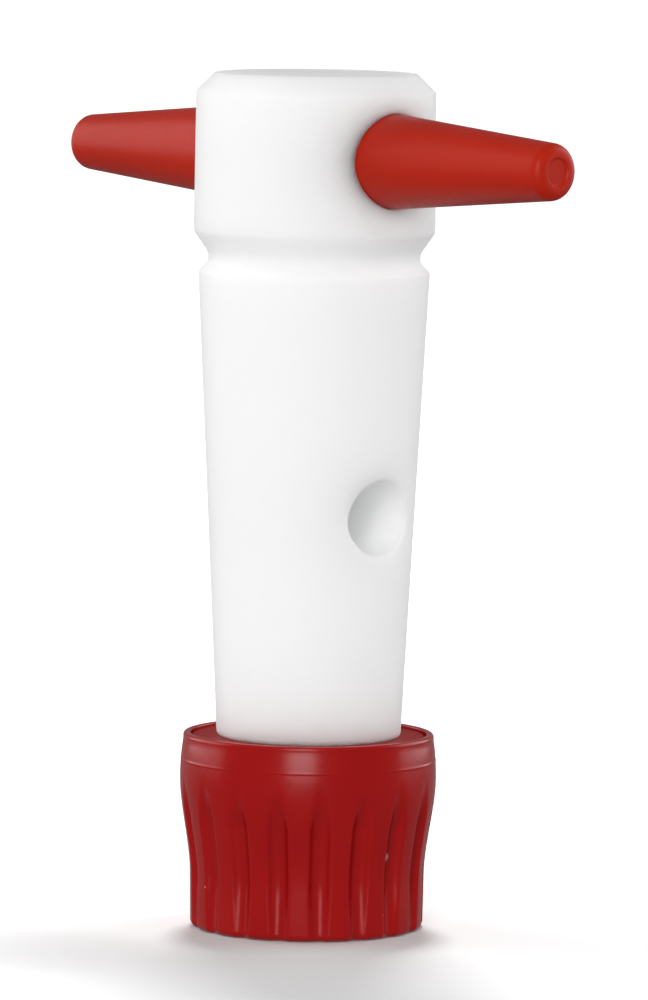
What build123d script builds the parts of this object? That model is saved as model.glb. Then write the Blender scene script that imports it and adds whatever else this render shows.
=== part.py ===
from build123d import *
import math
import os

# Plug of a laboratory glass stopcock: a tapered fluoroplastic key with a cross bore, a two-armed
# handle through its head, and a fluted nut on a keyed washer and an O-ring at its small end.
# Millimetres. Z runs up the plug, z = 0 is the nut's underside, X runs along the handle and the bore.

# ---- driving dimensions: plug ----
TAPER_LARGE_R = 9.45          # radius of the ground taper at its large end
TAPER_PER_MM = 0.05           # radius lost per mm of length, a 1:10 taper
TAPER_LENGTH = 38.10
TAPER_END_ROUND = 0.40        # broken edge at the small end
LIP_ROUND = 0.25              # broken edge at the large end

GROOVE_DEPTH = 1.10           # root of the groove below the taper's large end
GROOVE_LOWER_HEIGHT = 1.05    # from the taper's large end up to the groove's root
GROOVE_UPPER_HEIGHT = 2.20    # from the root up to the head's lower edge
GROOVE_ROUND = 0.80

HEAD_OVERHANG = 0.40          # head radius beyond the taper's large end
HEAD_HEIGHT = 12.95
HEAD_CHAMFER = 1.60
HEAD_CHAMFER_ROUND = 0.30
HEAD_LOWER_ROUND = 0.35

BORE_R = 3.00                 # flow bore across the taper
BORE_BELOW_LARGE_END = 19.65
BORE_MOUTH_ROUND = 0.35

# ---- driving dimensions: handle ----
HANDLE_BELOW_TOP = 6.82       # handle axis below the head's top face
HANDLE_HALF_LENGTH = 28.05
HANDLE_ROOT_R = 3.92          # the part of an arm that sits in the head
HANDLE_CONE_INSET = 1.20      # the cone starts this far inside the head's surface
HANDLE_END_R = 2.25           # radius of the cone at the arm's end
HANDLE_TIP_ROUND = 0.85
HANDLE_DIMPLE_R = 1.20
HANDLE_DIMPLE_DEPTH = 0.15
SPIGOT_R = 2.00
SPIGOT_LENGTH = 6.50
SPIGOT_END_CHAMFER = 0.30
SOCKET_END_GAP = 0.30

# ---- driving dimensions: stem, washer, O-ring ----
STEM_CREST_R = 5.85
THREAD_PITCH = 2.00
THREAD_DEPTH = 0.95
THREAD_CREST_WIDTH = 0.45
THREAD_ROOT_WIDTH = 1.15
STEM_END_CHAMFER = 0.50
STEM_END_INSET = 1.00         # stem end above the nut's underside
STEM_FLAT = 4.70              # distance of the keying flat from the axis

WASHER_THICKNESS = 1.30
WASHER_BELOW_RIM = 0.25
WASHER_EDGE = 0.15
O_RING_SECTION_HEIGHT = 2.10  # as squeezed by the nut
O_RING_SECTION_WIDTH = 2.70
O_RING_SIDE_ROUND = 0.94      # roundness that is left on the squeezed sides

# ---- driving dimensions: nut ----
NUT_HEIGHT = 16.00
NUT_RIM_WALL = 0.60
NUT_COLLAR_SWELL = 0.23       # the collar's widest place beyond the rim's radius
NUT_COLLAR_BELOW_RIM = 3.60   # widest place of the collar, below the rim
NUT_RIM_ROUND = 0.25
NUT_RIM_INNER_ROUND = 0.12
NUT_GRIP_INSET = 0.67         # the grip's top within the rim's radius
NUT_FOOT_INSET = 0.74         # the grip's foot within the rim's radius
NUT_FOOT_ROUND = 0.50
NUT_FLARE_START = 4.20        # height where the grip starts to flare out to the collar
NUT_MOUTH_DEPTH = 1.00        # countersink of the thread in the underside
FLUTE_COUNT = 18
FLUTE_R = 1.15
FLUTE_DEPTH = 0.48
FLUTE_RUNOUT_START = 8.00     # height where a flute starts to run out of the grip
FLUTE_TIP_BELOW_RIM = 3.90
FLUTE_PHASE = 3.0             # degrees from +X to the nearest flute, as the nut stands when tight
FLUTE_BEND_ARC = 75           # degrees of the cutter's bend, enough to leave the collar

# ---- fits ----
THREAD_CLEARANCE = 0.10
KEY_CLEARANCE = 0.10          # washer hole round the stem
WASHER_POCKET_CLEARANCE = 0.10
O_RING_STEM_CLEARANCE = 0.20
O_RING_POCKET_CLEARANCE = 0.93
HANDLE_HOLE_CLEARANCE = 0.03
SPIGOT_CLEARANCE = 0.05
HALVES_GAP = 0.05             # each arm stops this far from the middle

# ---- places worked out from the sizes ----
WASHER_TOP_Z = NUT_HEIGHT - WASHER_BELOW_RIM
WASHER_BOTTOM_Z = WASHER_TOP_Z - WASHER_THICKNESS
NUT_SEAT_Z = WASHER_BOTTOM_Z - O_RING_SECTION_HEIGHT
NUT_COLLAR_Z = NUT_HEIGHT - NUT_COLLAR_BELOW_RIM
O_RING_INNER_R = STEM_CREST_R + O_RING_STEM_CLEARANCE
O_RING_OUTER_R = O_RING_INNER_R + O_RING_SECTION_WIDTH
NUT_POCKET_R = O_RING_OUTER_R + O_RING_POCKET_CLEARANCE
NUT_RIM_R = NUT_POCKET_R + NUT_RIM_WALL
NUT_COLLAR_R = NUT_RIM_R + NUT_COLLAR_SWELL
NUT_GRIP_R = NUT_RIM_R - NUT_GRIP_INSET
NUT_FOOT_R = NUT_RIM_R - NUT_FOOT_INSET
WASHER_R = NUT_POCKET_R - WASHER_POCKET_CLEARANCE
TAPER_SMALL_Z = WASHER_TOP_Z
TAPER_LARGE_Z = TAPER_SMALL_Z + TAPER_LENGTH
TAPER_SMALL_R = TAPER_LARGE_R - TAPER_PER_MM * TAPER_LENGTH
GROOVE_ROOT_R = TAPER_LARGE_R - GROOVE_DEPTH
HEAD_R = TAPER_LARGE_R + HEAD_OVERHANG
GROOVE_ROOT_Z = TAPER_LARGE_Z + GROOVE_LOWER_HEIGHT
HEAD_BOTTOM_Z = GROOVE_ROOT_Z + GROOVE_UPPER_HEIGHT
HEAD_TOP_Z = HEAD_BOTTOM_Z + HEAD_HEIGHT
HANDLE_Z = HEAD_TOP_Z - HANDLE_BELOW_TOP
HANDLE_CONE_START = HEAD_R - HANDLE_CONE_INSET
BORE_Z = TAPER_LARGE_Z - BORE_BELOW_LARGE_END
STEM_CORE_R = STEM_CREST_R - THREAD_DEPTH
BEYOND = 1.0                  # how far a cutting body runs past what it cuts
RIDGE_SINK = 0.20             # how deep a thread ridge's foot lies in its core


def turned(points, radii):
    """Solid of revolution about Z: points are (radius, height), starting and ending on the axis."""
    outline = FilletPolyline(*points, radius=radii)
    face = make_face(outline.edges() + [Line(outline @ 1, outline @ 0)])
    return revolve(Rot(90, 0, 0) * face, axis=Axis.Z)


def turned_ring(points, radii):
    """Ring of revolution about Z from a closed outline of (radius, height) points."""
    outline = FilletPolyline(*points, radius=radii, close=True)
    return revolve(Rot(90, 0, 0) * make_face(outline.edges()), axis=Axis.Z)


def along_x(body, height):
    """Lays a body made round Z along X at a height: what was up points to +X."""
    return Pos(0, 0, height) * Rot(0, 90, 0) * body


def threaded_rod(bottom_z, top_z, clearance):
    """Rod with a chamfered lower end and a right-hand ridge, grown all round by the clearance.

    A ridge passes the +X side at every whole multiple of the pitch whatever the clearance is,
    so the stem and the nut's thread are in mesh. The ridge ends inside the rod's own length.
    """
    core_r = STEM_CORE_R + clearance
    crest_r = STEM_CREST_R + clearance
    half_root = THREAD_ROOT_WIDTH / 2 + clearance
    half_crest = THREAD_CREST_WIDTH / 2 + clearance
    half_foot = half_root + RIDGE_SINK * (half_root - half_crest) / THREAD_DEPTH
    first_z = THREAD_PITCH * math.ceil((bottom_z + half_foot) / THREAD_PITCH)
    last_z = THREAD_PITCH * math.floor((top_z - half_foot) / THREAD_PITCH)
    section = Wire(Polyline(
        (core_r - RIDGE_SINK, 0, first_z - half_foot),
        (crest_r, 0, first_z - half_crest),
        (crest_r, 0, first_z + half_crest),
        (core_r - RIDGE_SINK, 0, first_z + half_foot),
        close=True,
    ).edges())
    helix = Pos(0, 0, first_z) * Helix(THREAD_PITCH, last_z - first_z, core_r)
    ridge = Solid.sweep(section, Wire([helix]), is_frenet=True)
    core = turned(
        [(0, bottom_z), (core_r - STEM_END_CHAMFER, bottom_z), (core_r, bottom_z + STEM_END_CHAMFER),
         (core_r, top_z), (0, top_z)],
        [0, 0, 0],
    )
    return core.solid().fuse(ridge)


def plug_body():
    outside = turned(
        [
            (0, TAPER_SMALL_Z),
            (TAPER_SMALL_R, TAPER_SMALL_Z),
            (TAPER_LARGE_R, TAPER_LARGE_Z),
            (GROOVE_ROOT_R, GROOVE_ROOT_Z),
            (HEAD_R, HEAD_BOTTOM_Z),
            (HEAD_R, HEAD_TOP_Z - HEAD_CHAMFER),
            (HEAD_R - HEAD_CHAMFER, HEAD_TOP_Z),
            (0, HEAD_TOP_Z),
        ],
        [TAPER_END_ROUND, LIP_ROUND, GROOVE_ROUND, HEAD_LOWER_ROUND, HEAD_CHAMFER_ROUND,
         HEAD_CHAMFER_ROUND],
    )
    flow_bore = along_x(Cylinder(BORE_R, 2 * (TAPER_LARGE_R + BEYOND)), BORE_Z)
    body = outside - flow_bore
    mouths = [edge for edge in body.edges()
              if abs(edge.center().Z - BORE_Z) < BORE_R and abs(edge.center().X) > BORE_R
              and edge.bounding_box().size.Z < 2 * BORE_R + 1]
    body = fillet(mouths, BORE_MOUTH_ROUND)
    handle_hole = along_x(Cylinder(HANDLE_ROOT_R + HANDLE_HOLE_CLEARANCE, 2 * (HEAD_R + BEYOND)), HANDLE_Z)
    return body - handle_hole


def stem():
    rod = threaded_rod(STEM_END_INSET, TAPER_SMALL_Z, 0)
    flat = Pos(0, STEM_FLAT, STEM_END_INSET - BEYOND) * Box(
        4 * STEM_CREST_R, STEM_CREST_R, TAPER_SMALL_Z - STEM_END_INSET + BEYOND,
        align=(Align.CENTER, Align.MIN, Align.MIN))
    return rod - flat


def handle_arm():
    """One arm from the middle of the head out to its tip, made round Z with the tip upwards."""
    return turned(
        [
            (0, HALVES_GAP),
            (HANDLE_ROOT_R, HALVES_GAP),
            (HANDLE_ROOT_R, HANDLE_CONE_START),
            (HANDLE_END_R, HANDLE_HALF_LENGTH),
            (HANDLE_DIMPLE_R, HANDLE_HALF_LENGTH),
            (HANDLE_DIMPLE_R - HANDLE_DIMPLE_DEPTH, HANDLE_HALF_LENGTH - HANDLE_DIMPLE_DEPTH),
            (0, HANDLE_HALF_LENGTH - HANDLE_DIMPLE_DEPTH),
        ],
        [0, 0, HANDLE_TIP_ROUND, 0, 0],
    )


def handle_socket_half():
    socket = Cylinder(SPIGOT_R + SPIGOT_CLEARANCE, SPIGOT_LENGTH + SOCKET_END_GAP,
                      align=(Align.CENTER, Align.CENTER, Align.MIN))
    return along_x(handle_arm() - socket, HANDLE_Z)


def handle_spigot_half():
    arm = Rot(0, 180, 0) * handle_arm()
    spigot = turned(
        [(0, -BEYOND), (SPIGOT_R, -BEYOND), (SPIGOT_R, SPIGOT_LENGTH - SPIGOT_END_CHAMFER),
         (SPIGOT_R - SPIGOT_END_CHAMFER, SPIGOT_LENGTH), (0, SPIGOT_LENGTH)],
        [0, 0, 0],
    )
    return along_x(arm + spigot, HANDLE_Z)


def thrust_washer():
    low, high = WASHER_BOTTOM_Z, WASHER_TOP_Z
    hole_r = STEM_CREST_R + KEY_CLEARANCE
    disc = turned(
        [(0, low), (WASHER_R, low), (WASHER_R, high), (0, high)],
        [WASHER_EDGE, WASHER_EDGE],
    )
    hole = Pos(0, 0, low - BEYOND) * Cylinder(hole_r, WASHER_THICKNESS + 2 * BEYOND,
                                              align=(Align.CENTER, Align.CENTER, Align.MIN))
    beside_flat = Pos(0, STEM_FLAT + KEY_CLEARANCE, low - BEYOND) * Box(
        4 * hole_r, hole_r, WASHER_THICKNESS + 2 * BEYOND, align=(Align.CENTER, Align.MIN, Align.MIN))
    return disc - (hole - beside_flat)


def o_ring():
    return turned_ring(
        [
            (O_RING_INNER_R, NUT_SEAT_Z),
            (O_RING_OUTER_R, NUT_SEAT_Z),
            (O_RING_OUTER_R, WASHER_BOTTOM_Z),
            (O_RING_INNER_R, WASHER_BOTTOM_Z),
        ],
        [O_RING_SIDE_ROUND] * 4,
    )


def flute_cutter():
    """Round bar that follows the grip upwards, then bends outwards and leaves the flare."""
    centre_r = NUT_GRIP_R - FLUTE_DEPTH + FLUTE_R
    rise = NUT_HEIGHT - FLUTE_TIP_BELOW_RIM - FLUTE_RUNOUT_START
    run = NUT_COLLAR_R - NUT_GRIP_R + FLUTE_DEPTH
    bend_r = (rise ** 2 + run ** 2) / (2 * run)
    straight = Line((centre_r, -BEYOND), (centre_r, FLUTE_RUNOUT_START))
    bend = JernArc(start=straight @ 1, tangent=(0, 1), radius=bend_r, arc_size=-FLUTE_BEND_ARC)
    path = Rot(90, 0, 0) * Wire([straight, bend])
    return sweep(Pos(centre_r, 0, -BEYOND) * Circle(FLUTE_R), path=path)


def retaining_nut():
    collar_top = (NUT_RIM_R, NUT_HEIGHT - 2 * NUT_RIM_ROUND)
    foot = FilletPolyline(
        (STEM_CORE_R, 0), (NUT_FOOT_R, 0), (NUT_GRIP_R, NUT_FLARE_START), radius=[NUT_FOOT_ROUND])
    flare = Spline((NUT_GRIP_R, NUT_FLARE_START), (NUT_COLLAR_R, NUT_COLLAR_Z), tangents=[(0, 1), (0, 1)])
    collar = TangentArc((NUT_COLLAR_R, NUT_COLLAR_Z), collar_top, tangent=(0, 1))
    rim = FilletPolyline(
        collar_top,
        (NUT_RIM_R, NUT_HEIGHT),
        (NUT_POCKET_R, NUT_HEIGHT),
        (NUT_POCKET_R, NUT_SEAT_Z),
        (STEM_CORE_R, NUT_SEAT_Z),
        radius=[NUT_RIM_ROUND, NUT_RIM_INNER_ROUND, 0],
    )
    inside = Line((STEM_CORE_R, NUT_SEAT_Z), (STEM_CORE_R, 0))
    face = make_face(foot.edges() + [flare, collar] + rim.edges() + [inside])
    body = revolve(Rot(90, 0, 0) * face, axis=Axis.Z)
    cutter = flute_cutter()
    for number in range(FLUTE_COUNT):
        body = body - Rot(0, 0, FLUTE_PHASE + number * 360 / FLUTE_COUNT) * cutter
    mouth_r = STEM_CREST_R + 2 * THREAD_CLEARANCE
    mouth = turned(
        [(0, -BEYOND), (mouth_r + BEYOND, -BEYOND), (mouth_r - NUT_MOUTH_DEPTH, NUT_MOUTH_DEPTH),
         (0, NUT_MOUTH_DEPTH)],
        [0, 0],
    )
    thread = threaded_rod(-2 * THREAD_PITCH, NUT_SEAT_Z + 2 * THREAD_PITCH, THREAD_CLEARANCE)
    return body - mouth - thread


parts = {
    "plug": plug_body() + stem(),
    "handle_spigot_half": handle_spigot_half(),
    "handle_socket_half": handle_socket_half(),
    "thrust_washer": thrust_washer(),
    "o_ring": o_ring(),
    "retaining_nut": retaining_nut(),
}

os.makedirs("parts", exist_ok=True)
for name, solid in parts.items():
    export_step(solid, f"parts/{name}.step")
    print(name, "volume", round(solid.volume, 1), "mm3")
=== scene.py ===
import math

import bmesh
import bpy
from mathutils import Matrix, Vector


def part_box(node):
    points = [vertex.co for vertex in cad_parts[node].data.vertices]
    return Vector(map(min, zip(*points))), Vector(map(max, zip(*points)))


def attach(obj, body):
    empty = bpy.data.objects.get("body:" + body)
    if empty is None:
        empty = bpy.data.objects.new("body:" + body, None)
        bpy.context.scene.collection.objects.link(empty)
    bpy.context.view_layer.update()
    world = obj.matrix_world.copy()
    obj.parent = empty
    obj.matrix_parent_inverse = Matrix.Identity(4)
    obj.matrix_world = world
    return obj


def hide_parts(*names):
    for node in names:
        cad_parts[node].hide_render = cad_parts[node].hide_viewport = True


# Plug of a laboratory glass stopcock, standing on the nut that holds it in its barrel.
# Sizes are in millimetres until a mesh is finished. Z runs up the plug, X along handle and bore.

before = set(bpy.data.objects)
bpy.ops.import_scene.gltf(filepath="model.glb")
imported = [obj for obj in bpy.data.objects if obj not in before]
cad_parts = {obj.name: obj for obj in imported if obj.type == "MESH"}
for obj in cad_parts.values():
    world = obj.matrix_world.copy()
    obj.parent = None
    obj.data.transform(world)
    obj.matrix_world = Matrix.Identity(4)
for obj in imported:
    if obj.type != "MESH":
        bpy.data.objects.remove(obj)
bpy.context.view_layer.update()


# ---------------------------------------------------------------------------------------------
# Plug: one bar of PTFE, turned to a 1:10 taper with a broken edge at each end, a deep groove under
# the head and a chamfered head. A flow bore goes across the taper and the handle's hole across
# the head, both along X. The machined skin is waxy, faintly ringed and lets a little light in.
# ---------------------------------------------------------------------------------------------

MM = 0.001                       # metres in a millimetre

plug_low, plug_high = (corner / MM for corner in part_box("plug"))
washer_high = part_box("thrust_washer")[1] / MM
arm_low, arm_high = (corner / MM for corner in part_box("handle_socket_half"))

HEAD_R = plug_high.x
HEAD_TOP = plug_high.z
HEAD_HEIGHT = 12.95
HEAD_OVERHANG = 0.40             # head radius beyond the taper's large end
HEAD_CHAMFER = 1.60
GROOVE_DEPTH = 1.10
GROOVE_UPPER = 2.20              # from the groove's root up to the head
GROOVE_LOWER = 1.05              # from the taper's large end up to the groove's root
TAPER_END_ROUND = 0.40
LIP_ROUND = 0.20
GROOVE_ROUND = 1.00
HEAD_LOWER_ROUND = 0.65
HEAD_CHAMFER_ROUND = 0.60
TAPER_PER_MM = 0.05              # radius lost per mm of length
BORE_R = 3.00
BORE_BELOW_TAPER = 19.65
BORE_EDGE = 0.35                 # rounding of the flow bore's mouths
HANDLE_HOLE_R = 3.95
HANDLE_HOLE_EDGE = 0.08
PLUG_COLUMNS = 144               # points round the plug
MOUTH_COLUMNS = 13               # columns on either side of a mouth that its patch takes up
MOUTH_ROWS = 26                  # rows that a mouth's patch takes up
MOUTH_MARGIN = 1.30              # how far the patch reaches above and below the hole
PATCH_RINGS = 8                  # rings of points in a patch,
EDGE_RINGS = 6                   # over a mouth's rounding
TUBE_RINGS = 20                  # and along the hole
EDGE_SUPPORT = 0.06              # extra ring this near to an arc, so that long runs shade straight
WELD = 0.0005                    # points nearer to each other than this become one
TOO_SHORT = 0.0002               # edges shorter than this are dissolved

HEAD_BOTTOM = HEAD_TOP - HEAD_HEIGHT
GROOVE_ROOT = HEAD_BOTTOM - GROOVE_UPPER
TAPER_TOP = GROOVE_ROOT - GROOVE_LOWER
TAPER_BOTTOM = washer_high.z
TAPER_TOP_R = HEAD_R - HEAD_OVERHANG
TAPER_BOTTOM_R = TAPER_TOP_R - TAPER_PER_MM * (TAPER_TOP - TAPER_BOTTOM)
BORE_Z = TAPER_TOP - BORE_BELOW_TAPER
HANDLE_Z = (arm_low.z + arm_high.z) / 2


def rounded_outline(corners, rounds, steps=6):
    """Points (radius, height) along an outline whose inner corners are rounded by their own radius."""
    corners = [Vector(corner) for corner in corners]
    points = [corners[0]]
    for before, corner, after, radius in zip(corners, corners[1:], corners[2:], rounds):
        if radius == 0:
            points.append(corner)
            continue
        arriving = (corner - before).normalized()
        leaving = (after - corner).normalized()
        half_turn = arriving.angle(leaving) / 2
        start = corner - arriving * radius * math.tan(half_turn)
        end = corner + leaving * radius * math.tan(half_turn)
        centre = corner + (leaving - arriving).normalized() * radius / math.cos(half_turn)
        if (start - points[-1]).length > 2 * EDGE_SUPPORT:
            points.append(start - arriving * EDGE_SUPPORT)
        for step in range(steps + 1):
            points.append(centre + radius * (start - centre).slerp(end - centre, step / steps))
        if (after - end).length > 2 * EDGE_SUPPORT:
            points.append(end + leaving * EDGE_SUPPORT)
    return points + [corners[-1]]


def with_rows(points, low, high, count):
    """The same outline with evenly spaced points on the straight run between two heights."""
    before = [point for point in points if point.y < low]
    after = [point for point in points if point.y > high]
    rows = []
    for number in range(count + 1):
        height = low + (high - low) * number / count
        share = (height - before[-1].y) / (after[0].y - before[-1].y)
        rows.append(before[-1].lerp(after[0], share))
    return before + rows + after


def revolve(bm, outline, columns):
    """Rings of points round Z, one for each point of the outline, with their faces and end poles."""
    rings = []
    for point in outline:
        if point.x < 1e-6:
            pole = bm.verts.new((0, 0, point.y))
            rings.append([pole] * columns)
            continue
        turn = 2 * math.pi / columns
        rings.append([bm.verts.new((point.x * math.cos(turn * k), point.x * math.sin(turn * k), point.y))
                      for k in range(columns)])
    for lower, upper in zip(rings, rings[1:]):
        join_rings(bm, lower, upper)
    return rings


def join_rings(bm, lower, upper):
    """Faces between two closed rings of as many points; a pole gives triangles."""
    for k in range(len(lower)):
        following = (k + 1) % len(lower)
        corners = [lower[k], lower[following], upper[following], upper[k]]
        distinct = [corner for place, corner in enumerate(corners) if corner not in corners[:place]]
        if len(distinct) > 2 and not bm.faces.get(distinct):
            bm.faces.new(distinct)


def finished_piece(name, bm, material, sharp=40):
    """Closes a mesh made in millimetres, points its faces outwards and makes it an object in metres."""
    loose = [vertex for vertex in bm.verts if not vertex.link_faces]
    bmesh.ops.delete(bm, geom=loose, context="VERTS")
    bmesh.ops.remove_doubles(bm, verts=bm.verts, dist=WELD)
    bmesh.ops.dissolve_degenerate(bm, edges=bm.edges, dist=TOO_SHORT)
    bmesh.ops.recalc_face_normals(bm, faces=bm.faces)
    bmesh.ops.scale(bm, vec=(MM, MM, MM), verts=bm.verts)
    mesh = bpy.data.meshes.new(name)
    bm.to_mesh(mesh)
    bm.free()
    mesh.shade_smooth()
    mesh.set_sharp_from_angle(angle=math.radians(sharp))
    mesh.materials.append(material)
    piece = bpy.data.objects.new(name, mesh)
    bpy.context.collection.objects.link(piece)
    return piece


def radius_at(outline, height):
    """Radius of the outline's side at a height."""
    for lower, upper in zip(outline, outline[1:]):
        if lower.y <= height <= upper.y and upper.y > lower.y:
            return lower.x + (upper.x - lower.x) * (height - lower.y) / (upper.y - lower.y)
    return 0.0


def hole_through(bm, outline, rings, hole_z, hole_r, edge_r):
    """A round hole along X with rounded mouths.

    In each side a patch of rings on the turned surface leads from the grid to the mouth's edge, an
    arc rolls over the edge, and a tube joins the two mouths.
    """
    heights = [point.y for point in outline]
    reach_z = hole_r + MOUTH_MARGIN
    first = min(range(len(heights)), key=lambda row: abs(heights[row] - (hole_z - reach_z)))
    last = min(range(len(heights)), key=lambda row: abs(heights[row] - (hole_z + reach_z)))
    turn = 2 * math.pi / PLUG_COLUMNS
    across = range(-MOUTH_COLUMNS, MOUTH_COLUMNS)
    loop = [(first, k) for k in across]
    loop += [(row, MOUTH_COLUMNS) for row in range(first, last)]
    loop += [(last, -k) for k in across]
    loop += [(row, -MOUTH_COLUMNS) for row in range(last, first, -1)]

    def column(side, k):
        return k % PLUG_COLUMNS if side > 0 else PLUG_COLUMNS // 2 - k

    for side in (1, -1):
        doomed = set()
        for row in range(first + 1, last):
            for k in range(-MOUTH_COLUMNS + 1, MOUTH_COLUMNS):
                doomed.add(rings[row][column(side, k)])
        bmesh.ops.delete(bm, geom=list(doomed), context="VERTS")

    def depth(direction, distance):
        height = hole_z + distance * math.sin(direction)
        sideways = distance * math.cos(direction)
        return math.sqrt(radius_at(outline, height) ** 2 - sideways ** 2)

    mouths = []
    for row, k in loop:
        edge_turn = turn * k
        edge_z = heights[row]
        direction = math.atan2(edge_z - hole_z, radius_at(outline, edge_z) * math.sin(edge_turn))
        reach = hole_r + edge_r
        nudge = 0.02
        for _ in range(5):              # the surface's slope depends on the reach, so both settle together
            rise = depth(direction, reach + nudge) - depth(direction, reach - nudge)
            slope = math.atan2(rise, 2 * nudge)
            reach = hole_r + edge_r - edge_r * math.sin(slope)
        centre_x = depth(direction, reach) - edge_r * math.cos(slope)
        mouths.append((edge_turn, edge_z, direction, reach, slope, centre_x))

    inner_rings = {}
    for side in (1, -1):
        ring = [rings[row][column(side, k)] for row, k in loop]
        for number in range(1, PATCH_RINGS + 1):
            share = number / PATCH_RINGS
            following = []
            for edge_turn, edge_z, direction, reach, slope, centre_x in mouths:
                mouth_z = hole_z + reach * math.sin(direction)
                mouth_turn = math.asin(reach * math.cos(direction) / radius_at(outline, mouth_z))
                height = edge_z + (mouth_z - edge_z) * share
                angle = edge_turn + (mouth_turn - edge_turn) * share
                radius = radius_at(outline, height)
                following.append(bm.verts.new((
                    side * radius * math.cos(angle), radius * math.sin(angle), height)))
            join_rings(bm, ring, following)
            ring = following
        for number in range(1, EDGE_RINGS + 1):
            following = []
            for edge_turn, edge_z, direction, reach, slope, centre_x in mouths:
                start = math.pi / 2 + slope
                angle = start + (math.pi - start) * number / EDGE_RINGS
                distance = hole_r + edge_r + edge_r * math.cos(angle)
                following.append(bm.verts.new((
                    side * (centre_x + edge_r * math.sin(angle)),
                    distance * math.cos(direction),
                    hole_z + distance * math.sin(direction),
                )))
            join_rings(bm, ring, following)
            ring = following
        inner_rings[side] = ring
    ring = inner_rings[1]
    for number in range(1, TUBE_RINGS + 1):
        share = number / TUBE_RINGS
        if number == TUBE_RINGS:
            following = inner_rings[-1]
        else:
            following = [bm.verts.new(near.co.lerp(far.co, share))
                         for near, far in zip(inner_rings[1], inner_rings[-1])]
        join_rings(bm, ring, following)
        ring = following


def linear(hex_colour):
    """Linear RGBA of an sRGB hex colour."""
    channels = [int(hex_colour[place:place + 2], 16) / 255 for place in (1, 3, 5)]
    return tuple(c / 12.92 if c < 0.04045 else ((c + 0.055) / 1.055) ** 2.4 for c in channels) + (1.0,)


def add_node(tree, kind, inputs=None, **settings):
    """Adds a node; inputs are values, sockets or nodes, whose first output is meant."""
    node = tree.nodes.new(kind)
    for name, value in settings.items():
        setattr(node, name, value)
    for name, value in (inputs or {}).items():
        if isinstance(value, bpy.types.Node):
            value = value.outputs[0]
        if isinstance(value, bpy.types.NodeSocket):
            tree.links.new(value, node.inputs[name])
        else:
            node.inputs[name].default_value = value
    return node


def new_material(name):
    """An empty node material; returns it with its tree and the object coordinates."""
    material = bpy.data.materials.new(name)
    material.use_nodes = True
    material.node_tree.nodes.clear()
    place = add_node(material.node_tree, "ShaderNodeTexCoord").outputs["Object"]
    return material, material.node_tree, place


def noise(tree, place, size, detail):
    """Fractal noise whose features are of a size in metres."""
    return add_node(tree, "ShaderNodeTexNoise", {"Vector": place, "Scale": 1 / size, "Detail": detail})


def mixed(tree, share, first, second):
    """Colour that goes from the first to the second with a share from 0 to 1."""
    return add_node(tree, "ShaderNodeMix", {0: share, 6: first, 7: second}, data_type="RGBA").outputs[2]


def mapped(tree, value, low, high, to_low, to_high):
    """A value taken from one range to another and kept inside it."""
    return add_node(tree, "ShaderNodeMapRange", {0: value, 1: low, 2: high, 3: to_low, 4: to_high})


# PTFE, turned. White right through, waxy rather than glossy, and a touch translucent: thin edges
# stay bright. The tool leaves rings at its feed, and handling leaves a few soft scuffs.
PTFE_WHITE = "#FAFBFB"
PTFE_SHADED = "#F6F7F7"
PTFE_IOR = 1.35
PTFE_GLOSS = 0.03                # hardly any mirrored light
TURNING_FEED = 0.22 * MM         # the real feed is about half of this, too fine to show
GRAIN_SIZE = 0.35 * MM           # sintered powder grain, drawn coarse enough to show
CLOUD_SIZE = 6 * MM              # soft scuffs
RING_SHARE = 0.25                # how strong the rings are next to the grain
SKIN_DEPTH = 0.010 * MM          # relief of the finest grain
PTFE_DEPTH = 6.0 * MM            # how far light spreads inside

ptfe, tree, place = new_material("ptfe_turned")
flat_place = add_node(tree, "ShaderNodeVectorMath", {0: place, 1: (1, 1, 0)}, operation="MULTIPLY")
from_axis = add_node(tree, "ShaderNodeVectorMath", {0: flat_place}, operation="LENGTH").outputs["Value"]
up = add_node(tree, "ShaderNodeSeparateXYZ", {0: place}).outputs["Z"]
feed = add_node(tree, "ShaderNodeMath", {0: up, 1: from_axis}, operation="SUBTRACT")
feed_turns = add_node(tree, "ShaderNodeMath", {0: feed, 1: 2 * math.pi / TURNING_FEED}, operation="MULTIPLY")
tool_rings = add_node(tree, "ShaderNodeMath", {0: feed_turns}, operation="SINE")
clouds = noise(tree, place, CLOUD_SIZE, 3.0)
grain = noise(tree, place, GRAIN_SIZE, 4.0)
ring_depth = add_node(tree, "ShaderNodeMath", {0: tool_rings, 1: clouds}, operation="MULTIPLY")
skin = add_node(tree, "ShaderNodeMath", {0: ring_depth, 1: RING_SHARE, 2: grain}, operation="MULTIPLY_ADD")
bump = add_node(tree, "ShaderNodeBump", {"Height": skin, "Distance": SKIN_DEPTH, "Strength": 0.8})
tint = mixed(tree, clouds, linear(PTFE_SHADED), linear(PTFE_WHITE))
dull = mapped(tree, grain, 0.3, 0.7, 0.42, 0.56)
shader = add_node(tree, "ShaderNodeBsdfPrincipled", {
    "Base Color": tint, "Roughness": dull, "IOR": PTFE_IOR, "Normal": bump,
    "Specular IOR Level": PTFE_GLOSS,
    "Subsurface Weight": 1.0, "Subsurface Radius": (1.0, 1.0, 1.0), "Subsurface Scale": PTFE_DEPTH,
})
add_node(tree, "ShaderNodeOutputMaterial", {"Surface": shader})

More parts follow.
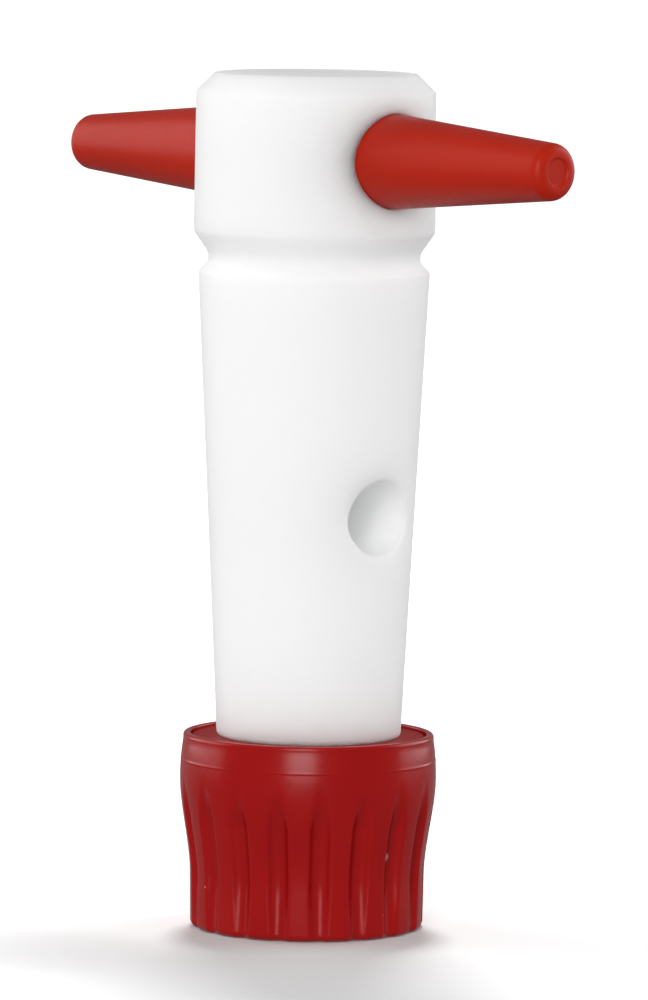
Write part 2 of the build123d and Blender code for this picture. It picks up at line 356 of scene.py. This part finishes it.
plug_outline = rounded_outline(
    [
        (0, TAPER_BOTTOM),
        (TAPER_BOTTOM_R, TAPER_BOTTOM),
        (TAPER_TOP_R, TAPER_TOP),
        (TAPER_TOP_R - GROOVE_DEPTH, GROOVE_ROOT),
        (HEAD_R, HEAD_BOTTOM),
        (HEAD_R, HEAD_TOP - HEAD_CHAMFER),
        (HEAD_R - HEAD_CHAMFER, HEAD_TOP),
        (0, HEAD_TOP),
    ],
    [TAPER_END_ROUND, LIP_ROUND, GROOVE_ROUND, HEAD_LOWER_ROUND, HEAD_CHAMFER_ROUND, HEAD_CHAMFER_ROUND],
)
for mouth_z, mouth_r in ((BORE_Z, BORE_R), (HANDLE_Z, HANDLE_HOLE_R)):
    reach = mouth_r + MOUTH_MARGIN
    plug_outline = with_rows(plug_outline, mouth_z - reach, mouth_z + reach, MOUTH_ROWS)

bm = bmesh.new()
plug_rings = revolve(bm, plug_outline, PLUG_COLUMNS)
hole_through(bm, plug_outline, plug_rings, BORE_Z, BORE_R, BORE_EDGE)
hole_through(bm, plug_outline, plug_rings, HANDLE_Z, HANDLE_HOLE_R, HANDLE_HOLE_EDGE)
plug_body = finished_piece("plug_body", bm, ptfe)
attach(plug_body, "plug")
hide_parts("plug")


# ---------------------------------------------------------------------------------------------
# Stem: the plug's small end goes on as a threaded stem with a flat along one side, which keys the
# washer. It is the same PTFE, cut with a coarse right-hand thread whose ridge runs out at the ends.
# ---------------------------------------------------------------------------------------------

PITCH = 2.00
THREAD_CREST_R = 5.85
THREAD_DEPTH = 0.95
THREAD_CREST = 0.45              # width of the ridge at its crest
THREAD_FOOT = 1.15               # width of the ridge at its foot
THREAD_COLUMNS = 144
STEM_FLAT = 4.70                 # distance of the flat from the axis
STEM_CHAMFER = 0.50
STEM_TOP = TAPER_BOTTOM + 0.50   # the stem's mesh goes this far up into the plug's body
THREAD_RUNOUT = TAPER_BOTTOM - 0.85   # the ridge is gone from here on


def thread_radius(height, turn, spare):
    """Radius of the thread at a height and a share of a turn; spare grows it all round."""
    across = abs((height / PITCH - turn + 0.5) % 1.0 - 0.5) * PITCH
    foot = THREAD_FOOT / 2 + spare
    crest = THREAD_CREST / 2 + spare
    rise = min(max((foot - across) / (foot - crest), 0), 1)
    return THREAD_CREST_R - THREAD_DEPTH + spare + THREAD_DEPTH * rise


def threaded_wall(bm, low, high, spare, trimmed):
    """A wall whose rows of points follow the thread; trimmed(radius, height) shapes its two ends."""
    foot = THREAD_FOOT / 2 + spare
    crest = THREAD_CREST / 2 + spare
    levels = [-foot, -(foot + crest) / 2, -crest, 0, crest, (foot + crest) / 2, foot, PITCH / 2]
    first = math.floor(low / PITCH) - 2
    last = math.ceil(high / PITCH) + 1
    starts = [PITCH * number + level for number in range(first, last + 1) for level in levels]
    rows = []
    for start in starts:
        row = []
        for k in range(THREAD_COLUMNS + 1):
            turn = k / THREAD_COLUMNS
            height = min(max(start + PITCH * turn, low), high)
            radius = trimmed(thread_radius(height, turn, spare), height)
            angle = 2 * math.pi * turn
            row.append(bm.verts.new((radius * math.cos(angle), radius * math.sin(angle), height)))
        rows.append(row)
    for lower, upper in zip(rows, rows[1:]):
        for k in range(THREAD_COLUMNS):
            bm.faces.new((lower[k], lower[k + 1], upper[k + 1], upper[k]))


def thread_end(bm, height, spare, trimmed):
    """The ring of points in which a threaded wall ends at a height."""
    ring = []
    for k in range(THREAD_COLUMNS):
        turn = k / THREAD_COLUMNS
        radius = trimmed(thread_radius(height, turn, spare), height)
        angle = 2 * math.pi * turn
        ring.append(bm.verts.new((radius * math.cos(angle), radius * math.sin(angle), height)))
    return ring


def stem_trim(radius, height):
    """Chamfers the stem's end and lets the ridge run out below the taper."""
    core = THREAD_CREST_R - THREAD_DEPTH
    lead_in = core - STEM_CHAMFER + height - plug_low.z
    run_out = core + max(THREAD_RUNOUT - height, 0)
    return min(radius, lead_in, run_out)


bm = bmesh.new()
threaded_wall(bm, plug_low.z, STEM_TOP, 0, stem_trim)
for end_height in (plug_low.z, STEM_TOP):
    end_ring = thread_end(bm, end_height, 0, stem_trim)
    join_rings(bm, end_ring, [bm.verts.new((0, 0, end_height))] * THREAD_COLUMNS)
for vertex in bm.verts:
    vertex.co.y = min(vertex.co.y, STEM_FLAT)
stem = finished_piece("threaded_stem", bm, ptfe, sharp=30)
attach(stem, "plug")


# ---------------------------------------------------------------------------------------------
# Handle: two conical arms moulded in red polypropylene. They meet inside the head, the spigot of
# one pressed into the socket of the other. Each arm ends in a rounded tip with a shallow dimple.
# ---------------------------------------------------------------------------------------------

ARM_LENGTH = arm_high.x
ARM_ROOT_R = 3.92                # the part of an arm that sits in the head
ARM_CONE_START = HEAD_R - 1.20
ARM_END_R = 2.25
ARM_TIP_ROUND = 0.85
ARM_ROOT_ROUND = 0.30            # where the cone starts
ARM_EDGE = 0.06                  # broken edges inside the head
ARM_MIDDLE = arm_low.x           # each arm stops just short of the middle
DIMPLE_R = 1.20
DIMPLE_DEPTH = 0.15
DIMPLE_EDGE = 0.05
SPIGOT_R = 2.00
SPIGOT_LENGTH = 6.50
SOCKET_R = 2.05
SOCKET_DEPTH = 6.80
ARM_COLUMNS = 96

# Polypropylene, moulded in a finely etched tool: an even satin red whose gloss is a soft broad
# band, with the faint orange peel and colour drift of a thick moulding.
HANDLE_RED = "#B6240F"
HANDLE_RED_DEEP = "#AB1F0D"
HANDLE_DRIFT = 7 * MM            # size of the colour drift
PEEL_SIZE = 0.55 * MM            # size of the orange peel
POLYPROPYLENE_IOR = 1.49
SATIN_GLOSS = 0.12

handle_red, tree, place = new_material("polypropylene_red_satin")
drift = noise(tree, place, HANDLE_DRIFT, 2.0)
peel = noise(tree, place, PEEL_SIZE, 3.0)
bump = add_node(tree, "ShaderNodeBump", {"Height": peel, "Distance": SKIN_DEPTH, "Strength": 0.6})
tint = mixed(tree, drift, linear(HANDLE_RED_DEEP), linear(HANDLE_RED))
dull = mapped(tree, peel, 0.3, 0.7, 0.36, 0.46)
shader = add_node(tree, "ShaderNodeBsdfPrincipled", {
    "Base Color": tint, "Roughness": dull, "IOR": POLYPROPYLENE_IOR,
    "Specular IOR Level": SATIN_GLOSS, "Normal": bump,
    "Subsurface Weight": 0.08, "Subsurface Radius": (1.0, 0.25, 0.15), "Subsurface Scale": 0.8 * MM,
})
add_node(tree, "ShaderNodeOutputMaterial", {"Surface": shader})


def handle_arm(name, side, inner_corners):
    """An arm turned about its own axis, then laid along X on its side of the head."""
    outline = rounded_outline(
        inner_corners + [
            (ARM_ROOT_R, ARM_MIDDLE),
            (ARM_ROOT_R, ARM_CONE_START),
            (ARM_END_R, ARM_LENGTH),
            (DIMPLE_R, ARM_LENGTH),
            (DIMPLE_R - DIMPLE_DEPTH, ARM_LENGTH - DIMPLE_DEPTH),
            (0, ARM_LENGTH - DIMPLE_DEPTH),
        ],
        [ARM_EDGE] * len(inner_corners) + [ARM_ROOT_ROUND, ARM_TIP_ROUND, DIMPLE_EDGE, DIMPLE_EDGE],
    )
    bm = bmesh.new()
    revolve(bm, outline, ARM_COLUMNS)
    lay = Matrix.Translation((0, 0, HANDLE_Z)) @ Matrix.Rotation(side * math.pi / 2, 4, "Y")
    bmesh.ops.transform(bm, matrix=lay, verts=bm.verts)
    piece = finished_piece(name, bm, handle_red)
    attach(piece, "plug")
    return piece


socket_corners = [(0, SOCKET_DEPTH), (SOCKET_R, SOCKET_DEPTH), (SOCKET_R, ARM_MIDDLE)]
socket_arm = handle_arm("handle_arm_socket", 1, socket_corners)
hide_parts("handle_socket_half")
spigot_corners = [(0, -SPIGOT_LENGTH), (SPIGOT_R, -SPIGOT_LENGTH), (SPIGOT_R, ARM_MIDDLE)]
spigot_arm = handle_arm("handle_arm_spigot", -1, spigot_corners)
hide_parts("handle_spigot_half")


# ---------------------------------------------------------------------------------------------
# Nut: moulded in red polypropylene, with eighteen flutes that run out below a smooth collar, a thin
# rim round the washer, and a thread inside. The tool's parting line goes round the collar.
# ---------------------------------------------------------------------------------------------

nut_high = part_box("retaining_nut")[1] / MM
ring_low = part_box("o_ring")[0] / MM

NUT_TOP = nut_high.z
NUT_SEAT = ring_low.z
COLLAR_R = nut_high.x
COLLAR_SWELL = 0.23              # how far the collar's widest place stands out beyond the rim
RIM_R = COLLAR_R - COLLAR_SWELL
RIM_WALL = 0.60
RIM_BAND = 0.50                  # the rim's upright wall starts this far below the nut's top
RIM_ROUND = 0.25
RIM_INNER_ROUND = 0.12
SEAT_ROUND = 0.10
SEAT_FLAT = 1.00                 # width of the outer ring of the pocket's floor
COLLAR_Z = NUT_TOP - 3.60        # the collar is widest here
GRIP_R = RIM_R - 0.67
FOOT_R = RIM_R - 0.74
FOOT_ROUND = 0.50
FLARE_START = 4.20
THREAD_SPARE = 0.10              # play between the stem's thread and the nut's
MOUTH_R = THREAD_CREST_R + 0.20
MOUTH_CHAMFER = 1.00
UNDERSIDE_FLAT = 0.40            # width of the smooth ring round the thread's mouth
SEAM_BELOW_RIM = 2.15
SEAM_HEIGHT = 0.022
SEAM_WIDTH = 0.07
SEAM_CLEAR = 0.30                # no flare row comes nearer to the seam than this
FLUTES = 18
FLUTE_R = 0.95                   # radius of the round bar that would cut a flute
FLUTE_DEPTH = 0.64
FLUTE_FOOT_SHARE = 0.45          # how much of that depth is left at the nut's foot
FLUTE_RUNOUT = 9.20              # a flute starts to run out at this height
FLUTE_TIP_BELOW_RIM = 3.90
FLUTE_PHASE = math.radians(3)    # the nut's turn when it is tight
FLUTE_SOFTNESS = 0.28            # how far a flute's edges are blended into the grip
COLUMNS_PER_FLUTE = 24

# The same polypropylene from a smoother tool: darker and glossier, so it mirrors the softboxes, with
# a low orange peel, a few small pale specks scattered at random, and one raised nib whose pale colour is a
# painted glint.
NUT_RED = "#A30F0F"
NUT_RED_DEEP = "#960D0F"
SPECK_RED = "#C8604A"
# Pale pink of a painted glint, laid on the nib.
NIB_PAINTED_GLINT = "#D9A0A0"
SPECK_SPACING = 2.4 * MM
SPECK_R = 0.045                  # as a share of the spacing
SPECK_SHARE = 0.45               # share of the places that have a speck
NUT_DRIFT = 5 * MM
NUT_PEEL = 0.8 * MM
NUT_GLOSS = 0.20
NIB_PLACE = (9.35, 0.20, 6.60)   # where the nut was broken off its sprue; the pale colour there is a painted glint
NIB_R = 0.42

nut_red, tree, place = new_material("polypropylene_red_gloss")
drift = noise(tree, place, NUT_DRIFT, 3.0)
peel = noise(tree, place, NUT_PEEL, 2.0)
tint = mixed(tree, drift, linear(NUT_RED_DEEP), linear(NUT_RED))
# Small pale spots scattered at random over the nut, drawn from a cell pattern.
cells = add_node(tree, "ShaderNodeTexVoronoi", {"Vector": place, "Scale": 1 / SPECK_SPACING})
speck = add_node(tree, "ShaderNodeMath", {0: cells.outputs["Distance"], 1: SPECK_R}, operation="LESS_THAN")
rare = add_node(tree, "ShaderNodeSeparateColor", {0: cells.outputs["Color"]})
chosen = add_node(tree, "ShaderNodeMath", {0: rare.outputs[0], 1: SPECK_SHARE}, operation="LESS_THAN")
speck = add_node(tree, "ShaderNodeMath", {0: speck, 1: chosen}, operation="MULTIPLY")
specked = mixed(tree, speck, tint, linear(SPECK_RED))
# The nib is a small raised bump; its pale pink is a painted glint, a highlight put into the base colour.
from_nib = add_node(tree, "ShaderNodeVectorMath", {0: place, 1: Vector(NIB_PLACE) * MM},
                    operation="DISTANCE").outputs["Value"]
nib_and_painted_glint = mapped(tree, from_nib, NIB_R * MM, 0.4 * NIB_R * MM, 0.0, 0.9)
with_painted_glint = mixed(tree, nib_and_painted_glint, specked, linear(NIB_PAINTED_GLINT))
raised = add_node(tree, "ShaderNodeMath", {0: nib_and_painted_glint, 1: 8.0, 2: peel}, operation="MULTIPLY_ADD")
bump = add_node(tree, "ShaderNodeBump", {"Height": raised, "Distance": 0.012 * MM, "Strength": 0.5})
dull = mapped(tree, drift, 0.3, 0.7, 0.20, 0.27)
shader = add_node(tree, "ShaderNodeBsdfPrincipled", {
    "Base Color": with_painted_glint, "Roughness": dull, "IOR": POLYPROPYLENE_IOR,
    "Specular IOR Level": NUT_GLOSS, "Normal": bump,
    "Subsurface Weight": 0.06, "Subsurface Radius": (1.0, 0.25, 0.15), "Subsurface Scale": 0.6 * MM,
})
add_node(tree, "ShaderNodeOutputMaterial", {"Surface": shader})


def flared_radius(height):
    """The nut's outside above the grip: an even flare to the collar, then an arc back to the rim."""
    if height <= COLLAR_Z:
        share = (height - FLARE_START) / (COLLAR_Z - FLARE_START)
        return GRIP_R + (COLLAR_R - GRIP_R) * share * share * (3 - 2 * share)
    crown = NUT_TOP - RIM_BAND - COLLAR_Z
    arc_r = (crown ** 2 + (COLLAR_R - RIM_R) ** 2) / (2 * (COLLAR_R - RIM_R))
    seam = (height - NUT_TOP + SEAM_BELOW_RIM) / SEAM_WIDTH
    arc = COLLAR_R - arc_r + math.sqrt(arc_r ** 2 - (height - COLLAR_Z) ** 2)
    return arc + SEAM_HEIGHT * math.exp(-seam ** 2)


seam_z = NUT_TOP - SEAM_BELOW_RIM
FLARE_ROW = 0.35                 # distance of the rows of points on the flare
GRIP_ROW = 0.50                  # and on the grip
flare_heights = [FLARE_START + FLARE_ROW * step for step in range(1, 27)]
seam_heights = [seam_z + SEAM_WIDTH * step for step in (-3, -2, -1.3, -0.7, 0, 0.7, 1.3, 2, 3)]
crown_heights = [seam_z + above for above in (0.5, 0.9, 1.3)]
wall_heights = [h for h in flare_heights if h < seam_z - SEAM_CLEAR] + seam_heights + crown_heights
foot_corners = [(MOUTH_R + UNDERSIDE_FLAT, 0), (FOOT_R, 0), (GRIP_R, FLARE_START)]
foot_outline = rounded_outline(foot_corners, [FOOT_ROUND])
grip_heights = [GRIP_ROW * step for step in range(2, 8)]
grip = [Vector((FOOT_R + (GRIP_R - FOOT_R) * h / FLARE_START, h)) for h in grip_heights]
rim_outline = rounded_outline(
    [
        (flared_radius(NUT_TOP - RIM_BAND), NUT_TOP - RIM_BAND),
        (RIM_R, NUT_TOP),
        (RIM_R - RIM_WALL, NUT_TOP),
        (RIM_R - RIM_WALL, NUT_SEAT),
        (RIM_R - RIM_WALL - SEAT_FLAT, NUT_SEAT),
    ],
    [RIM_ROUND, RIM_INNER_ROUND, SEAT_ROUND],
)
nut_outline = foot_outline[:-1] + grip + [foot_outline[-1]]
nut_outline += [Vector((flared_radius(h), h)) for h in wall_heights] + rim_outline


def nut_trim(radius, height):
    """Opens the nut's thread with a chamfered mouth."""
    return max(radius, MOUTH_R - height * (MOUTH_R - THREAD_CREST_R + THREAD_DEPTH) / MOUTH_CHAMFER)


bm = bmesh.new()
outside = bm.verts.layers.float.new("outside")     # marks what a flute may cut
nut_columns = FLUTES * COLUMNS_PER_FLUTE
nut_rings = revolve(bm, nut_outline, nut_columns)
for ring in nut_rings[1:-len(rim_outline)]:
    for vertex in ring:
        vertex[outside] = 1.0
threaded_wall(bm, 0, NUT_SEAT, THREAD_SPARE, nut_trim)
per_column = nut_columns // THREAD_COLUMNS         # outside columns for each column of the thread
for outer, height in ((nut_rings[0], 0), (nut_rings[-1], NUT_SEAT)):
    inner = thread_end(bm, height, THREAD_SPARE, nut_trim)
    for k in range(THREAD_COLUMNS):
        edge = [outer[(per_column * k + step) % nut_columns] for step in range(per_column + 1)]
        bm.faces.new(edge + [inner[(k + 1) % THREAD_COLUMNS], inner[k]])
nut_blank = finished_piece("retaining_nut_blank", bm, nut_red, sharp=30)

# The flutes follow a rule, so a node tree cuts them. A round bar stands at each flute's middle, and
# each outside point of the blank that it covers moves in to its side. It cuts less deep towards the
# foot, and above the run-out its depth falls evenly to nothing at the tip.
flutes = bpy.data.node_groups.new("nut_flutes", "GeometryNodeTree")
sizes = {
    "Flutes": FLUTES,
    "Phase": FLUTE_PHASE,
    "Bar radius": FLUTE_R * MM,
    "Depth": FLUTE_DEPTH * MM,
    "Foot share": FLUTE_FOOT_SHARE,
    "Flare start": FLARE_START * MM,
    "Run-out start": FLUTE_RUNOUT * MM,
    "Tip": (NUT_TOP - FLUTE_TIP_BELOW_RIM) * MM,
    "Softness": FLUTE_SOFTNESS * MM,
}
flutes.interface.new_socket("Geometry", in_out="INPUT", socket_type="NodeSocketGeometry")
flutes.interface.new_socket("Geometry", in_out="OUTPUT", socket_type="NodeSocketGeometry")
size_sockets = {}
for name in sizes:
    socket = flutes.interface.new_socket(name, in_out="INPUT", socket_type="NodeSocketFloat")
    size_sockets[name] = socket.identifier
given = add_node(flutes, "NodeGroupInput")


def maths(operation, *values):
    """One step of arithmetic in the flutes' tree; a name stands for one of its sizes."""
    inputs = {place: given.outputs[value] if isinstance(value, str) else value
              for place, value in enumerate(values)}
    return add_node(flutes, "ShaderNodeMath", inputs, operation=operation)


point = add_node(flutes, "ShaderNodeSeparateXYZ", {0: add_node(flutes, "GeometryNodeInputPosition")})
x, y, z = point.outputs
radius = maths("SQRT", maths("ADD", maths("MULTIPLY", x, x), maths("MULTIPLY", y, y)))
half_step = maths("DIVIDE", math.pi, "Flutes")
off_middle = maths("WRAP", maths("SUBTRACT", maths("ARCTAN2", y, x), "Phase"),
                   half_step, maths("MULTIPLY", half_step, -1.0))
left_over = maths("DIVIDE", maths("SUBTRACT", "Tip", z), maths("SUBTRACT", "Tip", "Run-out start"))
foot_share = maths("ADD", "Foot share", maths("MULTIPLY", maths("SUBTRACT", 1.0, "Foot share"),
                                              maths("MINIMUM", maths("DIVIDE", z, "Flare start"), 1.0)))
depth = maths("MULTIPLY", maths("MULTIPLY", "Depth", foot_share), maths("MINIMUM", left_over, 1.0))
middle = maths("ADD", radius, maths("SUBTRACT", "Bar radius", depth))
aside = maths("MULTIPLY", middle, maths("SINE", off_middle))
inside = maths("SUBTRACT", maths("MULTIPLY", "Bar radius", "Bar radius"), maths("MULTIPLY", aside, aside))
bar_side = maths("SUBTRACT", maths("MULTIPLY", middle, maths("COSINE", off_middle)),
                 maths("SQRT", maths("MAXIMUM", inside, 0.0)))
cut_radius = maths("SMOOTH_MIN", radius, bar_side, "Softness")
cuttable = add_node(flutes, "GeometryNodeInputNamedAttribute", {"Name": "outside"}, data_type="FLOAT")
cut_depth = maths("MULTIPLY", maths("SUBTRACT", radius, cut_radius), cuttable)
shrink = maths("DIVIDE", maths("SUBTRACT", radius, cut_depth), radius)
moved = add_node(flutes, "ShaderNodeCombineXYZ",
                 {0: maths("MULTIPLY", x, shrink), 1: maths("MULTIPLY", y, shrink), 2: z})
cut = add_node(flutes, "GeometryNodeSetPosition", {"Geometry": given.outputs["Geometry"], "Position": moved})
solid = add_node(flutes, "GeometryNodeRealizeInstances", {0: cut})
painted = add_node(flutes, "GeometryNodeSetMaterial", {"Geometry": solid, "Material": nut_red})
add_node(flutes, "NodeGroupOutput", {0: painted})

modifier = nut_blank.modifiers.new("flutes", "NODES")
modifier.node_group = flutes
for name, size in sizes.items():
    modifier[size_sockets[name]] = float(size)
depsgraph = bpy.context.evaluated_depsgraph_get()
nut_mesh = bpy.data.meshes.new_from_object(nut_blank.evaluated_get(depsgraph))
bpy.data.objects.remove(nut_blank)
retaining_nut = bpy.data.objects.new("nut_fluted", nut_mesh)
bpy.context.collection.objects.link(retaining_nut)
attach(retaining_nut, "nut")
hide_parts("retaining_nut")


# ---------------------------------------------------------------------------------------------
# Washer: a flat ring of red polypropylene in the nut's mouth, keyed by the stem's flat, so that
# turning the plug does not turn the nut. O-ring: nitrile rubber, squeezed under the washer.
# ---------------------------------------------------------------------------------------------

WASHER_RED = "#9C1012"
WASHER_DRIFT = 3 * MM
RUBBER_BLACK = "#17171A"
RUBBER_BLOOM = "#26262A"         # the greyish bloom that old rubber gets
BLOOM_SIZE = 1.2 * MM

washer_red, tree, place = new_material("polypropylene_red_washer")
drift = noise(tree, place, WASHER_DRIFT, 2.0)
tint = mixed(tree, drift, linear(NUT_RED_DEEP), linear(WASHER_RED))
bump = add_node(tree, "ShaderNodeBump", {"Height": drift, "Distance": 0.02 * MM, "Strength": 0.5})
shader = add_node(tree, "ShaderNodeBsdfPrincipled", {
    "Base Color": tint, "Roughness": 0.45, "IOR": POLYPROPYLENE_IOR,
    "Specular IOR Level": SATIN_GLOSS, "Normal": bump})
add_node(tree, "ShaderNodeOutputMaterial", {"Surface": shader})
for material_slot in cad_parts["thrust_washer"].material_slots:
    material_slot.material = washer_red

rubber, tree, place = new_material("nitrile_rubber_moulded")
bloom = noise(tree, place, BLOOM_SIZE, 4.0)
tint = mixed(tree, bloom, linear(RUBBER_BLACK), linear(RUBBER_BLOOM))
bump = add_node(tree, "ShaderNodeBump", {"Height": bloom, "Distance": 0.01 * MM, "Strength": 0.5})
shader = add_node(tree, "ShaderNodeBsdfPrincipled", {
    "Base Color": tint, "Roughness": 0.55, "IOR": 1.52, "Normal": bump})
add_node(tree, "ShaderNodeOutputMaterial", {"Surface": shader})
for material_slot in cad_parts["o_ring"].material_slots:
    material_slot.material = rubber


# ---------------------------------------------------------------------------------------------
# Studio: a pale floor with a painted glow, tall softboxes at both sides and one by the camera, and a dim
# white room.
# The camera stands a little above the plug's head and looks slightly down on it.
# ---------------------------------------------------------------------------------------------

CAMERA_AZIMUTH = math.radians(46.885)
CAMERA_DISTANCE = 643.3 * MM     # from the plug's axis, level
CAMERA_HEIGHT = 95.8 * MM
CAMERA_DOWN = math.radians(5.388)
CAMERA_PAN = math.radians(0.092)
CAMERA_ROLL = math.radians(0.707)
CAMERA_LENS = 284.35             # mm, on a 36 mm sensor
FLOOR_SIZE = 12.0                # metres
FLOOR_Z = -0.05 * MM             # a hair below the nut
FLOOR_WHITE = "#DCDCDC"
PAINTED_GLOW_START = 0.02                # metres from the plug's axis; here the floor's painted glow starts, so nearer the plug it is darker, a painted shade, and from here on it glows fully, to merge with the background
PAINTED_GLOW_END = 0.25                  # and from here on it glows fully, to merge with the background
PAINTED_GLOW_STRENGTH = 0.95

floor_mesh = bpy.data.meshes.new("floor")
half = FLOOR_SIZE / 2
floor_corners = [(x * half, y * half, FLOOR_Z) for x, y in ((-1, -1), (1, -1), (1, 1), (-1, 1))]
floor_mesh.from_pydata(floor_corners, [], [(0, 1, 2, 3)])
floor = bpy.data.objects.new("floor", floor_mesh)
bpy.context.collection.objects.link(floor)
floor_white, tree, place = new_material("floor_white_painted_glow")
# The floor's emission is painted light. It fades to nothing near the plug, so a painted shade round the plug
# adds to the lamp's real shadow there.
from_middle = add_node(tree, "ShaderNodeVectorMath", {0: place}, operation="LENGTH").outputs["Value"]
glow = add_node(tree, "ShaderNodeMapRange",
                {0: from_middle, 1: PAINTED_GLOW_START, 2: PAINTED_GLOW_END, 3: 0.0, 4: PAINTED_GLOW_STRENGTH},
                interpolation_type="SMOOTHSTEP")
shader = add_node(tree, "ShaderNodeBsdfPrincipled", {
    "Base Color": linear(FLOOR_WHITE), "Roughness": 0.8, "Specular IOR Level": 0.1,
    "Emission Color": (1.0, 1.0, 1.0, 1.0), "Emission Strength": glow})
add_node(tree, "ShaderNodeOutputMaterial", {"Surface": shader})
floor_mesh.materials.append(floor_white)
floor.visible_diffuse = False
floor.visible_glossy = False

camera_data = bpy.data.cameras.new("camera")
camera_data.lens = CAMERA_LENS
camera_data.sensor_width = 36
camera_data.clip_start = 0.01
camera_data.clip_end = 50
camera = bpy.data.objects.new("camera", camera_data)
bpy.context.collection.objects.link(camera)
towards_camera = Vector((math.sin(CAMERA_AZIMUTH), -math.cos(CAMERA_AZIMUTH), 0))
camera.matrix_world = (
    Matrix.Translation(towards_camera * CAMERA_DISTANCE + Vector((0, 0, CAMERA_HEIGHT)))
    @ Matrix.Rotation(CAMERA_AZIMUTH - CAMERA_PAN, 4, "Z")
    @ Matrix.Rotation(math.pi / 2 - CAMERA_DOWN, 4, "X")
    @ Matrix.Rotation(CAMERA_ROLL, 4, "Z")
)
bpy.context.scene.camera = camera


def softbox(name, around, distance, width, low, high, watts):
    """An upright softbox that faces the plug; around is its bearing in degrees from the camera's."""
    light = bpy.data.lights.new(name, "AREA")
    light.shape = "RECTANGLE"
    light.size = width
    light.size_y = high - low
    light.energy = watts
    lamp = bpy.data.objects.new(name, light)
    bpy.context.collection.objects.link(lamp)
    bearing = CAMERA_AZIMUTH + math.radians(around)
    away = Vector((math.sin(bearing), -math.cos(bearing), 0))
    lamp.matrix_world = (Matrix.Translation(away * distance + Vector((0, 0, (low + high) / 2)))
                         @ Matrix.Rotation(bearing, 4, "Z") @ Matrix.Rotation(math.pi / 2, 4, "X"))
    lamp.visible_camera = False


softbox("softbox_left", around=-112, distance=0.55, width=0.56, low=0.0, high=0.50, watts=2.35)
softbox("softbox_right", around=117, distance=0.55, width=0.50, low=0.0, high=0.50, watts=2.4)
softbox("softbox_front", around=-6, distance=0.80, width=0.34, low=0.0, high=0.60, watts=5.6)

# A lamp high behind the plug lights the floor alone, so that the plug's soft shadow falls towards the
# camera.
FLOOR_LIGHT_SIZE = 0.14
FLOOR_LIGHT_WATTS = 3.0
FLOOR_LIGHT_HEIGHT = 0.60
FLOOR_LIGHT_TILT = math.radians(-26)

floor_light = bpy.data.lights.new("floor_light", "AREA")
floor_light.shape = "DISK"
floor_light.size = FLOOR_LIGHT_SIZE
floor_light.energy = FLOOR_LIGHT_WATTS
floor_lamp = bpy.data.objects.new("floor_light", floor_light)
bpy.context.collection.objects.link(floor_lamp)
floor_lamp.matrix_world = (Matrix.Rotation(CAMERA_AZIMUTH, 4, "Z")
                           @ Matrix.Rotation(FLOOR_LIGHT_TILT, 4, "X")
                           @ Matrix.Translation((0, 0, FLOOR_LIGHT_HEIGHT)))
floor_lamp.visible_camera = False
floor_lamp.visible_glossy = False
floor_only = bpy.data.collections.new("lit_by_floor_light")
floor_only.objects.link(floor)
floor_lamp.light_linking.receiver_collection = floor_only

ROOM_BELOW = 0.29                # strength of the room's light from below and from above
ROOM_ABOVE = 0.26

world = bpy.data.worlds.new("room")
bpy.context.scene.world = world
world.use_nodes = True
world.node_tree.nodes.clear()
direction = add_node(world.node_tree, "ShaderNodeTexCoord").outputs["Generated"]
upward = add_node(world.node_tree, "ShaderNodeSeparateXYZ", {0: direction}).outputs["Z"]
strength = mapped(world.node_tree, upward, -0.3, 0.3, ROOM_BELOW, ROOM_ABOVE)
room = add_node(world.node_tree, "ShaderNodeBackground",
                {"Color": (1.0, 1.0, 1.0, 1.0), "Strength": strength})
add_node(world.node_tree, "ShaderNodeOutputWorld", {"Surface": room})
bpy.context.scene.view_settings.view_transform = "Standard"
